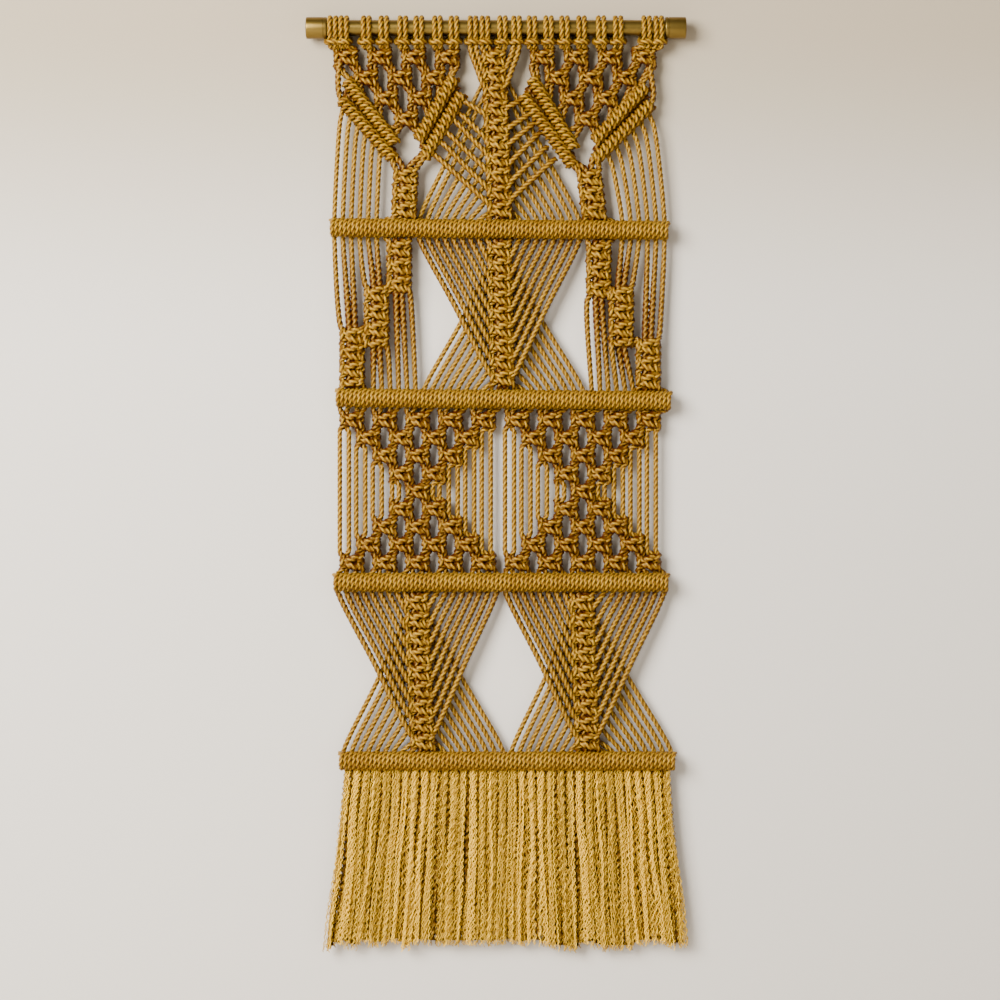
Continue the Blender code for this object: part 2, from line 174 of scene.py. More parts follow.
# the stage, in metres: a wall close behind the hanging, two lamps and a soft room
WALL_Y = 0.0138
WALL_TOP = 2.0
FLOOR_Z = -1.06
STAGE_REACH = 3.0
WALL_PAINT = (0.56, 0.512, 0.442)
FLOOR_PAINT = (0.62, 0.58, 0.53)
AIM = Vector((0.004, 0.0, -0.472))
LAMPS = (("key", (-1.5, -2.0, 0.45), 1.5, 262.0), ("fill", (1.9, -2.2, -0.3), 1.6, 17.0))
SKY = ((0.0, (0.05, 0.043, 0.035)), (0.46, (0.10, 0.09, 0.08)), (0.54, (0.30, 0.29, 0.275)),
       (0.75, (0.52, 0.50, 0.475)), (1.0, (0.28, 0.27, 0.26)))
LENS, SENSOR = 100.0, 36.0  # of the camera, in millimetres
VIEW_WIDTH = 1.0  # that it takes in at the hanging

SQUARE_KNOT = {
    # x, drop and y of each cord through one square knot: x in half widths for the carriers'
    # outer points, drop in half knots. The left carrier crosses the front both ways; the
    # right one passes behind and loops over it at the left.
    "front": ((-0.98, 0.0, -0.6), (-0.72, 0.42, -1.2), (-0.48, 0.80, -3.6), (0.0, 0.56, -4.8),
              (0.48, 0.30, -3.9), (0.76, 0.42, -1.0), (0.96, 1.0, 0.4), (0.76, 1.58, -1.0),
              (0.48, 1.70, -3.9), (0.0, 1.44, -4.8), (-0.48, 1.20, -3.6), (-0.72, 1.58, -1.2),
              (-0.98, 2.0, -0.6)),
    "behind": ((0.98, 0.0, -0.6), (0.86, 0.34, -4.0), (0.62, 0.72, -2.6), (0.42, 0.86, 1.4),
               (0.0, 0.66, 4.5), (-0.5, 0.40, 3.4), (-0.84, 0.50, -1.6), (-0.86, 1.0, -4.9),
               (-0.84, 1.50, -1.6), (-0.5, 1.60, 3.4), (0.0, 1.34, 4.5), (0.42, 1.14, 1.4),
               (0.62, 1.28, -2.6), (0.86, 1.66, -4.0), (0.98, 2.0, -0.6)),
}
FILLER_X = 2.9  # from a knot's middle to each of its two fillers
FILLER_Y = 0.6
# any swelling other than 1, up or down, also brings on the painted shade of knots in the cord
# material
KNOT_SWELL = 1.24  # how much fatter a cord is where it is pulled into a knot
CROSSING_SWELL = 1.46  # where it crosses a knot's front
NET_SWELL = 1.10  # between the knots of a V net
BIGHT_SWELL = 1.18  # in the bight of a larks' head
FRONT_SWELL = 1.19  # cords that lie over the front of a leaf
BACK_SWELL = 0.88  # and those under them, near the braid, thinner, which paints them darker with the painted shade of knots
BAR_SWELL = 0.96  # in the horizontal bars
WRAP_SWELL = 1.12  # in the slanting bars
BAR_CORE = 1.75  # the held cords inside a horizontal bar
WRAP_CORE = 0.8  # and inside a slanting one
WRAP_SIDES = 16  # points in one wrap
WRAP_SHAKE = 0.1  # how much the wraps' radius varies
WRAP_LAG = 0.35  # how far a wrap leans while it crosses the front, in wraps
NET_KNOT_WIDTH = 10.9  # half the width of a net's knot
NET_KNOT_HALF = 7.8  # the height of half a knot, which is one crossing
NET_FLARE = 1.9  # how much wider the fillers enter a net's knot than they cross it
NET_Y = 2.6  # the nets lie this far behind the braids
# the straight cords beside an hourglass: how far outside its edge knots the two cords run
NET_SIDES = {-1: (2.9, 12.0), 1: (-1.6, 7.4)}
NET_WAIST = 0.75  # beside the waist they run closer by this share
NET_SIDE_Y = 2.0
NET_SIDE_DROPS = (3.0, 8.0, 22.0)  # the points of such a cord, down from its knot
BRAID_KNOT_WIDTH = 11.2  # half the width of a braid's knot


def lerp(a, b, t):
    """The value a share t of the way from a to b."""
    return a + (b - a) * t


def bar_cord(bar, cord):
    """x and drop where a cord crosses a bar."""
    left, right, drop_left, drop_right = BARS[bar]
    share = cord / (CORDS - 1)
    return lerp(left + BAR_EDGE, right - BAR_EDGE, share), lerp(drop_left, drop_right, share)


def leaves_bar(bar, cord):
    """The first points of a cord below a bar: it comes out from behind the wraps."""
    x, drop = bar_cord(bar, cord)
    return [(x, BAR_Y + BAR_BEHIND, drop + 2.0),
            (x, HANG_Y + 1.0, drop + BAR_RADIUS - BAR_TUCK)]


def meets_bar(bar, cord, y=HANG_Y):
    """The last points of a cord above a bar: it goes in behind the wraps."""
    x, drop = bar_cord(bar, cord)
    return [(x, y + 1.0, drop - BAR_RADIUS + BAR_TUCK), (x, BAR_Y + BAR_BEHIND, drop - 2.0)]


def head_cord(cord):
    """x of a cord where it leaves its larks' head."""
    return HEADS_X[cord // 2] + (HEAD_SPREAD if cord % 2 else -HEAD_SPREAD)


def smooth_path(points, step=2.0):
    """Points on one smooth curve through the given ones (centripetal Catmull-Rom).

    A point's fourth value, where it has one, is how many times thicker the cord is there.
    """
    knots, swells = [], []
    for point in points:
        place = Vector(point[:3])
        if not knots or (place - knots[-1]).length > 0.05:
            knots.append(place)
            swells.append(point[3] if len(point) > 3 else 1.0)
    ends = [2 * knots[0] - knots[1]] + knots + [2 * knots[-1] - knots[-2]]
    path = [(knots[0], swells[0])]
    for i in range(1, len(ends) - 2):
        p0, p1, p2, p3 = ends[i - 1:i + 3]
        t1 = max((p1 - p0).length, 1e-3) ** 0.5
        t2 = t1 + max((p2 - p1).length, 1e-3) ** 0.5
        t3 = t2 + max((p3 - p2).length, 1e-3) ** 0.5
        pieces = max(1, round((p2 - p1).length / step))
        for k in range(1, pieces + 1):
            t = lerp(t1, t2, k / pieces)
            a1 = p0.lerp(p1, t / t1)
            a2 = p1.lerp(p2, (t - t1) / (t2 - t1))
            a3 = p2.lerp(p3, (t - t2) / (t3 - t2))
            b1 = a1.lerp(a2, t / t2)
            b2 = a2.lerp(a3, (t - t1) / (t3 - t1))
            path.append((b1.lerp(b2, (t - t1) / (t2 - t1)),
                         lerp(swells[i - 1], swells[i], k / pieces)))
    return path


def tie_square_knot(cords, x, drop, width, half_height, lean=0.0, half=False, flare=1.0, depth=0.0):
    """Add a square knot to four cords, or only its first half.

    The fillers spread flare times as wide where they enter and leave it.
    """
    left, first, second, right = cords
    last = 1.0 if half else 2.0
    for cord, form in ((left, "front"), (right, "behind")):
        form_points = SQUARE_KNOT[form]
        if half:
            form_points = form_points[:len(form_points) // 2 + 1]
        for u, v, y in form_points:
            swell = CROSSING_SWELL if abs(u) < 0.5 and y < 0 else KNOT_SWELL
            cord.append((x + u * width + lean * v, y + depth, drop + v * half_height, swell))
    for cord, side in ((first, -1), (second, 1)):
        for v, spread in ((0.0, flare), (0.5 * last, 1.0), (last, flare)):
            cord.append((x + side * FILLER_X * spread + lean * v, FILLER_Y + depth,
                         drop + v * half_height, CROSSING_SWELL if spread == 1.0 else KNOT_SWELL))


def tie_row(cords, begin, count, middle, spacing, drop):
    """Add one row of a net's knots to its cords, from the cord at begin on."""
    for k in range(count):
        start = begin + 4 * k
        x = middle + (k - (count - 1) / 2) * spacing
        tie_square_knot(cords[start:start + 4], x, drop, NET_KNOT_WIDTH, NET_KNOT_HALF,
                        flare=NET_FLARE, depth=NET_Y)


def tie_braid(cords, shape):
    """Add a braid of square knots to four cords."""
    x0, drop0, x1, drop1, knots = shape[:5]
    pitch = (drop1 - drop0) / knots
    whole = int(knots)
    for k in range(whole):
        x = lerp(x0, x1, k / knots)
        tie_square_knot(cords, x, drop0 + k * pitch, BRAID_KNOT_WIDTH, pitch / 2,
                        (x1 - x0) / knots / 2)
    if knots > whole:
        tie_square_knot(cords, lerp(x0, x1, whole / knots), drop0 + whole * pitch,
                        BRAID_KNOT_WIDTH, pitch / 2, half=True)


# ---------------------------------------------------------------- the cords' routes
def head_route(x):
    """The two cords of a larks' head and the bight that ties them under the rod."""
    around = ROD_RADIUS + 0.8 * CORD_RADIUS
    left = x - HEAD_SPREAD
    up = [(left, -1.5, 20.0), (left, -3.6, 15.5), (left, -8.6, 7.5), (left, -around, 0.0),
          (left, -7.3, -7.3), (left, 0.0, -around), (left, 7.3, -7.3), (left, around, 0.0),
          (left - 1.6, 8.6, 6.5), (left - 3.6, 5.0, 11.2), (left - 2.6, -5.4, 15.2, BIGHT_SWELL)]
    bight = [(x, -8.0, 14.2, BIGHT_SWELL)]
    down = [(2 * x - point[0], *point[1:]) for point in reversed(up)]
    return up + bight + down


def v_net_routes(side):
    """The cords of a V net, from the larks' heads to the slanting bars."""
    middle, drift, first = V_LEFT if side < 0 else V_RIGHT
    spread = 2 * V_ROWS
    cords = []
    for k in range(4 * V_ROWS):
        cords.append([(head_cord(first + k), *HEAD_EXIT, NET_SWELL)])
    for row in range(V_ROWS):
        tie_row(cords, 2 * row, V_ROWS - row, middle + drift * row, V_SPACING,
                V_DROP + row * V_STEP - NET_KNOT_HALF)
    names = ("left_outer", "left_inner") if side < 0 else ("right_inner", "right_outer")
    for name, order in ((names[0], range(spread)), (names[1], range(4 * V_ROWS - 1, spread - 1, -1))):
        x0, drop0, x1, drop1 = SLANTS[name]
        for place, k in enumerate(order):
            share = min(SLANT_LAST, SLANT_IN[0] + place * SLANT_IN[1])
            x, drop = lerp(x0, x1, share), lerp(drop0, drop1, share)
            cords[k] += [(x, 1.5, drop - 5.0, NET_SWELL), (x, SLANT_BACK, drop + 1.0, NET_SWELL)]
    return cords


def v_edge_routes():
    """The cords behind and below the slanting bars, and the small braids under the Vs."""
    cords = []
    for name in ("left_outer", "left_inner", "right_inner", "right_outer"):
        upper, lower = SLANTS[name], SLANTS[name + "_low"]
        x0, drop0, x1, drop1 = (lerp(a, b, 0.5) for a, b in zip(upper, lower))
        # a cord behind each pair of slanting bars, swollen so that it is painted dark with the
        # painted shade of knots: it fills the gap between the two bars with painted shade
        cords.append([(x0, 4.5, drop0, CROSSING_SWELL), (x1, 4.5, drop1, CROSSING_SWELL)])
    for name, braid, side in (("left_outer_low", BRAIDS_TOP[0], -1),
                              ("right_outer_low", BRAIDS_TOP[1], 1)):
        x0, drop0, x1, drop1 = SLANTS[name]
        for k in range(6):
            share = SLANT_OUT[0] + SLANT_OUT[1] * k
            x, drop = lerp(x0, x1, share), lerp(drop0, drop1, share)
            foot = k if side < 0 else CORDS - 1 - k
            foot_x = bar_cord(0, foot)[0]
            cords.append([(x, SLANT_BACK, drop), (x, 2.6, drop + 8.0),
                          (lerp(x, foot_x, 0.3), HANG_Y, drop + 20.0)] + meets_bar(0, foot))
        edge_x = (V_LEFT if side < 0 else V_RIGHT)[0] + side * 1.5 * V_SPACING
        cords.append([(edge_x + side * 6.0, 0.5, V_DROP + 4.0, KNOT_SWELL),
                      (edge_x + side * 7.5, 0.0, V_DROP + 19.0, KNOT_SWELL),
                      (x0 + side * 2.5, 0.0, drop0 - 9.0, KNOT_SWELL), (x0, 1.0, drop0 + 2.0)])
        inner = SLANTS["left_inner_low" if side < 0 else "right_inner_low"]
        ends = sorted(((x1, drop1), (inner[2], inner[3])))
        tied = []
        for k in range(4):
            end_x, end_drop = ends[k // 2]
            tied.append([(end_x + (k % 2) * 4.0 - 2.0, -0.8, end_drop - 3.0, KNOT_SWELL)])
        tie_braid(tied, braid)
        for k in range(4):
            tied[k] += meets_bar(0, braid[5] + k)
        cords += tied
    return cords


def leaf_routes(name):
    """A leaf: its braid, the cords that run in over the front, and those that fan out behind."""
    x0, drop0, x1, drop1, knots, first, top_bar, bottom_bar = LEAVES[name]
    braid, front, behind = [], [], []
    for k in range(first + LEAF_SIDE, first + LEAF_SIDE + 4):
        braid.append([(head_cord(k), *HEAD_EXIT)] if top_bar is None else leaves_bar(top_bar, k))
    start = drop0 + (3.0 if top_bar is None else 1.0)
    tie_braid(braid, (x0, start, x1, drop1, knots))
    for k in range(4):
        braid[k] += meets_bar(bottom_bar, first + LEAF_SIDE + k)
    for side in (-1, 1):
        joins = JOINS[name][side]
        for k in range(LEAF_SIDE):
            drop = lerp(joins[0], joins[1], k / (LEAF_SIDE - 1))
            if top_bar is None:
                drop = joins[k]
            x = lerp(x0, x1, (drop - drop0) / (drop1 - drop0))
            inner = first + LEAF_SIDE - 1 - k if side < 0 else first + LEAF_SIDE + 4 + k
            outer = first + k if side < 0 else first + 19 - k
            route = top_leaf_start(side, k, inner) if top_bar is None else leaves_bar(top_bar, inner)
            # over the front to the braid's edge, and in behind its first filler
            begin = Vector(route[-1])
            join = Vector((x + side * 12.0, FRONT_Y - 0.4, drop - 5.0))
            middle = begin.lerp(join, 0.5)
            middle.y = FRONT_Y
            route = [(*point, FRONT_SWELL) for point in (*route, middle, join)]
            route += [(x + side * 7.5, -0.4, drop + 0.5), (x + side * 3.0, 2.6, drop + 4.0)]
            front.append(route)
            # out again behind the braid, and down to the bar below
            feet = meets_bar(bottom_bar, outer, BACK_Y)
            leave = Vector((x + side * 9.0, BACK_Y + 1.2, drop + 3.0))
            half = leave.lerp(Vector(feet[0]), 0.5)
            half.y = BACK_Y + 0.4
            behind.append([(x + side * 2.0, 2.0, drop - 3.0, BACK_SWELL), (*leave, BACK_SWELL),
                           tuple(half)] + feet)
    return braid + front + behind


def top_leaf_start(side, k, cord):
    """Where a cord of the top leaf begins: at a larks' head or on an inner slanting bar."""
    if k < 2:
        x = head_cord(cord)
        return [(x, *HEAD_EXIT), (x - side * 1.5, -2.4, 26.0)]
    x, drop = TOP_STARTS[side][k - 2]
    return [(x + side * 4.0, 3.0, drop - 3.0), (x, -0.8, drop)]


def stair_routes():
    """Ten cords at each side of the second band, tied in a stair of three braids."""
    cords = []
    for stairs, first in ((STAIRS_LEFT, 0), (STAIRS_RIGHT, 30)):
        tied = [leaves_bar(0, first + k) for k in range(10)]
        for shape in stairs:
            begin = shape[5] - first
            tie_braid(tied[begin:begin + 4], shape)
            if shape[4] % 1:  # a last half knot leaves the carriers on each other's side
                tied[begin], tied[begin + 3] = tied[begin + 3], tied[begin]
        for k in range(10):
            tied[k] += meets_bar(1, first + k)
        cords += tied
    return cords


def hourglass_routes(middle, first):
    """Twenty cords in a net that narrows to one knot and widens again."""
    cords = [leaves_bar(1, first + k) for k in range(20)]
    last = len(NET_ROWS) - 1
    for row, count in enumerate(NET_ROWS):
        drop = NET_DROP + row * NET_STEP - NET_KNOT_HALF
        fold = min(row, last - row)
        tie_row(cords, 2 * fold, count, middle, NET_SPACING, drop)
        if row < last // 2:
            below = NET_DROP + (last - row) * NET_STEP - NET_KNOT_HALF
            top, gap = drop + 2 * NET_KNOT_HALF, below - drop - 2 * NET_KNOT_HALF
            near_knot = [t for t in NET_SIDE_DROPS if t < gap / 2]
            levels = [top + t for t in near_knot] + [below - t for t in reversed(near_knot)]
            share = NET_WAIST if fold == last // 2 - 1 else 1.0
            for side in (-1, 1):
                x = middle + side * (count - 1) / 2 * NET_SPACING
                edge = 2 * fold if side < 0 else 2 * fold + 4 * count - 1
                near, far = edge - side, edge
                for cord, offset in zip((near, far), NET_SIDES[side]):
                    for level in levels:
                        cords[cord].append((x + side * offset * share, NET_SIDE_Y, level))
    for k in range(20):
        cords[k] += meets_bar(2, first + k)
    return cords


def lock_route(share, shake):
    """The middle line of one lock of the fringe, a share of the way from left to right."""
    top_x = bar_cord(3, share * (CORDS - 1))[0]
    width = shake.uniform(*LOCK_WIDTHS)
    end_x = lerp(FRINGE_LEFT, FRINGE_RIGHT, share) + shake.uniform(-LOCK_SHAKE, LOCK_SHAKE)
    end = FRINGE_END + shake.uniform(-END_SHAKE, END_SHAKE)
    y = shake.uniform(*LOCK_DEPTHS)
    lock = [(top_x, 1.5, FRINGE_TOP - 3.0), (top_x, 0.6, FRINGE_TOP + 2.0)]
    for t in (0.25, 0.5, 0.75, 1.0):
        x = lerp(top_x, end_x, t ** FLARE_POWER) + shake.uniform(-BEND_SHAKE, BEND_SHAKE)
        lock.append((x, y, lerp(FRINGE_TOP + 2.0, end, t), width))
    return lock


def core_route(lock):
    """The heart of a lock, behind its fibres and a little shorter."""
    before, last = lock[-2], lock[-1]
    return [(point[0], CORE_Y, point[2], CORE_SWELL) for point in lock[:-1]] + [
        (lerp(before[0], last[0], CORE_END), CORE_Y - 1.0, lerp(before[2], last[2], CORE_END),
         CORE_SWELL)]


def winding(start, end, radius, pitch, seed, thick):
    """One cord wound round a line, its turns side by side: the wraps of a hitch bar."""
    shake = random.Random(seed)
    begin = Vector(start)
    along = Vector(end) - begin
    across = Vector((along.z, 0.0, -along.x)).normalized()
    turns = max(2, round(along.length / pitch))
    points = []
    for i in range(turns * WRAP_SIDES + 1):
        if i % WRAP_SIDES == 0:
            reach = radius + shake.uniform(-WRAP_SHAKE, WRAP_SHAKE)
        angle = TURN * i / WRAP_SIDES
        lag = WRAP_LAG * math.sin(angle) / turns
        point = begin + along * min(1.0, max(0.0, i / (turns * WRAP_SIDES) + lag))
        point += across * reach * math.cos(angle)
        point += Vector((0.0, reach * math.sin(angle), 0.0))
        points.append((*point, thick))
    return points


# ---------------------------------------------------------------- node trees
# depths in metres, with the wall at +y, for the painted shade of knots: a knot's front, its heart,
# which is painted darkest, and its back
KNOT_FRONT = -0.0062
KNOT_HEART = (0.0032, 0.0038)
KNOT_BACK = 0.0076
DRIFT_SCALE = 60.0  # waves in a metre of a cord's uneven dye,
FIBRE_SCALE = 1400.0  # its fibres,
TARNISH_SCALE = 45.0  # and the rod's tarnish
KNOT_SHADE = 4.2  # how strongly a cord's swelling, above or below 1, marks it as part of a knot and brings on the painted shade of knots
FIBRE_SHORTEST = 0.955  # the shortest fibre of a lock, beside the longest
COTTON_SHEEN = (1.0, 0.66, 0.18, 1.0)
BRUSH_SCALE = (2600.0, 90.0, 90.0)  # the rod was brushed while it turned
WALL_TOP_SHADE = (0.62, 0.55, 0.43)  # painted shade: how much darker and warmer the wall is painted toward the rod
TOP_SHADE_BAND = (-0.34, 0.02)  # between these heights


class Term:
    """A shader or geometry value that adds a Math node for each sum it is part of."""

    def __init__(self, tree, socket):
        self.tree, self.socket = tree, socket

    def __add__(self, other):
        return self.tree.math("ADD", self, other)

    def __sub__(self, other):
        return self.tree.math("SUBTRACT", self, other)

    def __rsub__(self, other):
        return self.tree.math("SUBTRACT", other, self)

    def __mul__(self, other):
        return self.tree.math("MULTIPLY", self, other)

    def __truediv__(self, other):
        return self.tree.math("DIVIDE", self, other)

    def __pow__(self, other):
        return self.tree.math("POWER", self, other)

    __radd__ = __add__
    __rmul__ = __mul__


class Tree:
    """Adds nodes to a tree in one call each."""

    def __init__(self, tree):
        self.tree = tree

    def add(self, kind, settings=None, inputs=None):
        """Add a node, with its settings first and then its inputs, and give its outputs."""
        made = self.tree.nodes.new(kind)
        for name, value in (settings or {}).items():
            if name == "stops":
                ramp = made.color_ramp.elements
                while len(ramp) < len(value):
                    ramp.new(0.5)
                for stop, (place, colour) in zip(ramp, value):
                    stop.position, stop.color = place, (*colour, 1.0)
            else:
                setattr(made, name, value)
        for name, value in (inputs or {}).items():
            if isinstance(value, Term):
                self.tree.links.new(value.socket, made.inputs[name])
            else:
                made.inputs[name].default_value = value
        return [Term(self, socket) for socket in made.outputs if socket.enabled]

    def math(self, operation, *values):
        """A value worked out by a Math node."""
        return self.add("ShaderNodeMath", {"operation": operation}, dict(enumerate(values)))[0]

    def mix(self, share, first, second):
        """A colour a share of the way from the first to the second."""
        first, second = (colour if isinstance(colour, Term) else (*colour, 1.0)
                         for colour in (first, second))
        return self.add("ShaderNodeMix", {"data_type": "RGBA"}, {0: share, 6: first, 7: second})[0]

    def noise(self, place, scale, detail):
        """A noise value from 0 to 1, with so many waves in a metre."""
        return self.add("ShaderNodeTexNoise", None,
                        {"Vector": place, "Scale": scale, "Detail": detail})[0]

    def ramp(self, value, low, high, **settings):
        """A value that climbs from 0 to 1 between low and high."""
        return self.add("ShaderNodeMapRange", settings, {0: value, 1: low, 2: high})[0]

    def random(self, seed, which, low=0.0, high=1.0):
        """A random value for each curve, from a seed of its own."""
        return self.add("FunctionNodeRandomValue", {"data_type": "FLOAT"},
                        {2: low, 3: high, "ID": which, "Seed": seed})[0]

    def store(self, geometry, name, value):
        """The geometry with a value kept at each of its points."""
        return self.add("GeometryNodeStoreNamedAttribute", {"data_type": "FLOAT", "domain": "POINT"},
                        {"Geometry": geometry, "Name": name, "Value": value})[0]


def new_material(name):
    """An empty material and its tree."""
    made = bpy.data.materials.new(name)
    made.use_nodes = True
    made.node_tree.nodes.clear()
    return made, Tree(made.node_tree)


def finish_material(tree, shader):
    """Send a shader to the material's output."""
    tree.add("ShaderNodeOutputMaterial", None, {"Surface": shader})


def cord_material(settings):
    """Ochre three-ply cord with fine fibres: pale along each ply, with painted shade in the grooves
    and in knots.
    """
    made, tree = new_material("twisted_cord")
    place = tree.add("ShaderNodeTexCoord")[3]
    ply = tree.add("ShaderNodeAttribute", {"attribute_name": "ply"})[2]
    knot = tree.add("ShaderNodeAttribute", {"attribute_name": "knot"})[2]
    drift = tree.noise(place, DRIFT_SCALE, 3.0)
    fibre = tree.noise(place, FIBRE_SCALE, 2.0)
    body = tree.mix((drift - 0.3) * 2.0, settings.cord_warm, settings.cord_pale)
    body = tree.mix((fibre - 0.42) * 1.6, body, settings.cord_light)
    # painted shade in the grooves between the plies, a little weaker in knots
    painted_groove = (1.0 - ply) ** 0.6 * (1.0 - knot * 0.1)
    colour = tree.mix(painted_groove * settings.groove_shade, body, settings.painted_shade_colour)
    # painted shade in knots: the heart of a knot is painted dark by its depth, and so are the sides
    # of its cords that face across, where they press on each other
    depth = tree.add("ShaderNodeSeparateXYZ", None, {0: place})[1]
    sunk_shade = tree.ramp(depth, KNOT_FRONT, KNOT_HEART[0]) * tree.ramp(depth, KNOT_BACK, KNOT_HEART[1])
    facing = tree.add("ShaderNodeSeparateXYZ", None, {0: tree.add("ShaderNodeTexCoord")[1]})[1]
    side = 1.0 - tree.math("ABSOLUTE", facing)
    colour = tree.mix(knot * (sunk_shade * 0.85 + side ** 1.2), colour, settings.painted_shade_colour)
    bump = tree.add("ShaderNodeBump", None,
                    {"Strength": 0.25, "Distance": 0.0005, "Height": fibre})[0]
    shader = tree.add("ShaderNodeBsdfPrincipled", None, {
        "Base Color": colour, "Roughness": 0.42, "Normal": bump, "Specular IOR Level": 0.55,
        "Specular Tint": COTTON_SHEEN})[0]
    finish_material(tree, shader)
    return made


def fibre_material(settings):
    """Loose, crimped fibres of the fringe, with painted shade at the sides of each lock."""
    made, tree = new_material("loose_fibre")
    drift = tree.noise(tree.add("ShaderNodeTexCoord")[3], DRIFT_SCALE, 3.0)
    shade = tree.add("ShaderNodeAttribute", {"attribute_name": "ply"})[2]
    # the stored value is painted shade, lighter for fibres that face front or back and darker at a
    # lock's sides, times a random tone; it darkens toward the painted shade colour
    body = tree.mix(shade * 0.95 + drift * 0.5 - 0.15, settings.fringe_warm, settings.fringe_pale)
    colour = tree.mix((1.0 - shade) ** 2.0 * 0.85, body, settings.painted_shade_colour)
    shader = tree.add("ShaderNodeBsdfPrincipled", None, {
        "Base Color": colour, "Roughness": 0.34, "Specular IOR Level": 0.9,
        "Specular Tint": COTTON_SHEEN})[0]
    finish_material(tree, shader)
    return made


def brass_material(settings):
    """Brushed brass with fine scratches round the rod and a slight tarnish."""
    made, tree = new_material("brushed_brass")
    place = tree.add("ShaderNodeTexCoord")[3]
    stretched = tree.add("ShaderNodeMapping", None, {"Vector": place, "Scale": BRUSH_SCALE})[0]
    brush = tree.noise(stretched, 1.0, 2.0)
    tarnish = tree.noise(place, TARNISH_SCALE, 4.0)
    colour = tree.mix(tarnish * 0.7, settings.brass_bright, settings.brass_dull)
    rough = 0.26 + brush * 0.12 + tarnish * 0.08
    bump = tree.add("ShaderNodeBump", None,
                    {"Strength": 0.12, "Distance": 0.0001, "Height": brush})[0]
    shader = tree.add("ShaderNodeBsdfPrincipled", None, {
        "Base Color": colour, "Metallic": 1.0, "Roughness": rough, "Normal": bump})[0]
    finish_material(tree, shader)
    return made


def stage_material(name, colour, one_sided):
    """A matt painted surface, painted darker and warmer toward the rod as painted shade; a wall is
    only there when seen from its front.
    """
    made, tree = new_material(name)
    # painted shade: darker and warmer paint toward the rod, between two heights
    height = tree.add("ShaderNodeSeparateXYZ", None, {0: tree.add("ShaderNodeTexCoord")[3]})[2]
    top_shade = tree.ramp(height, *TOP_SHADE_BAND, interpolation_type="SMOOTHSTEP")
    paint = tree.mix(top_shade, colour, tuple(c * w for c, w in zip(colour, WALL_TOP_SHADE)))
    shader = tree.add("ShaderNodeBsdfPrincipled", None, {"Base Color": paint, "Roughness": 0.9})[0]
    if one_sided:
        back = tree.add("ShaderNodeNewGeometry")[6]
        clear = tree.add("ShaderNodeBsdfTransparent")[0]
        shader = tree.add("ShaderNodeMixShader", None, {0: back, 1: shader, 2: clear})[0]
    finish_material(tree, shader)
    return made


def geometry_tree(name, inputs):
    """A geometry tree with named inputs, and its group input's values."""
    group = bpy.data.node_groups.new(name, "GeometryNodeTree")
    face = group.interface
    face.new_socket("Geometry", in_out="INPUT", socket_type="NodeSocketGeometry")
    for label, kind in inputs:
        face.new_socket(label, in_out="INPUT", socket_type="NodeSocket" + kind)
    face.new_socket("Geometry", in_out="OUTPUT", socket_type="NodeSocketGeometry")
    tree = Tree(group)
    start = tree.add("NodeGroupInput")
    values = dict(zip(["Geometry"] + [label for label, _ in inputs], start))
    return group, tree, values


def finish_geometry(tree, mesh, finish):
    """Shade smooth, realize the instances, set the material and end the tree."""
    smooth = tree.add("GeometryNodeSetShadeSmooth", None, {"Geometry": mesh})[0]
    real = tree.add("GeometryNodeRealizeInstances", None, {"Geometry": smooth})[0]
    done = tree.add("GeometryNodeSetMaterial", None, {"Geometry": real, "Material": finish})[0]
    tree.add("NodeGroupOutput", None, {"Geometry": done})


def cord_tree():
    """Twisted three-ply cord along each curve."""
    group, tree, value = geometry_tree("twisted_cord", (
        ("Radius", "Float"), ("Twist", "Float"), ("Step", "Float"), ("Groove", "Float"),
        ("Material", "Material")))
    route = tree.add("GeometryNodeResampleCurve", {"mode": "LENGTH"},
                     {"Curve": value["Geometry"], "Length": value["Step"]})[0]
    place = tree.add("GeometryNodeSplineParameter")
    which = tree.add("GeometryNodeCurveOfPoint")[0]
    twist = place[1] * TURN / value["Twist"] + tree.random(4, which) * TURN
    route = tree.add("GeometryNodeSetCurveTilt", None, {"Curve": route, "Tilt": twist})[0]
    # the ring has three points for each ply: one in the groove and two on the ply
    ring = tree.add("GeometryNodeCurvePrimitiveCircle", {"mode": "RADIUS"},
                    {"Resolution": 9, "Radius": value["Radius"]})[0]
    third = tree.math("MODULO", tree.add("GeometryNodeInputIndex")[0], 3.0)
    ply = tree.math("MINIMUM", third, 1.0)
    drawn = 1.0 - (1.0 - ply) * value["Groove"]
    pulled = tree.add("ShaderNodeVectorMath", {"operation": "SCALE"},
                      {"Vector": tree.add("GeometryNodeInputPosition")[0], "Scale": drawn})[0]
    ring = tree.add("GeometryNodeSetPosition", None, {"Geometry": ring, "Position": pulled})[0]
    ring = tree.store(ring, "ply", ply)
    swell = tree.add("GeometryNodeInputRadius")[0]
    route = tree.store(route, "knot", tree.math("ABSOLUTE", swell - 1.0) * KNOT_SHADE)
    mesh = tree.add("GeometryNodeCurveToMesh", None, {
        "Curve": route, "Profile Curve": ring, "Scale": swell, "Fill Caps": True})[0]
    finish_geometry(tree, mesh, value["Material"])
    return group


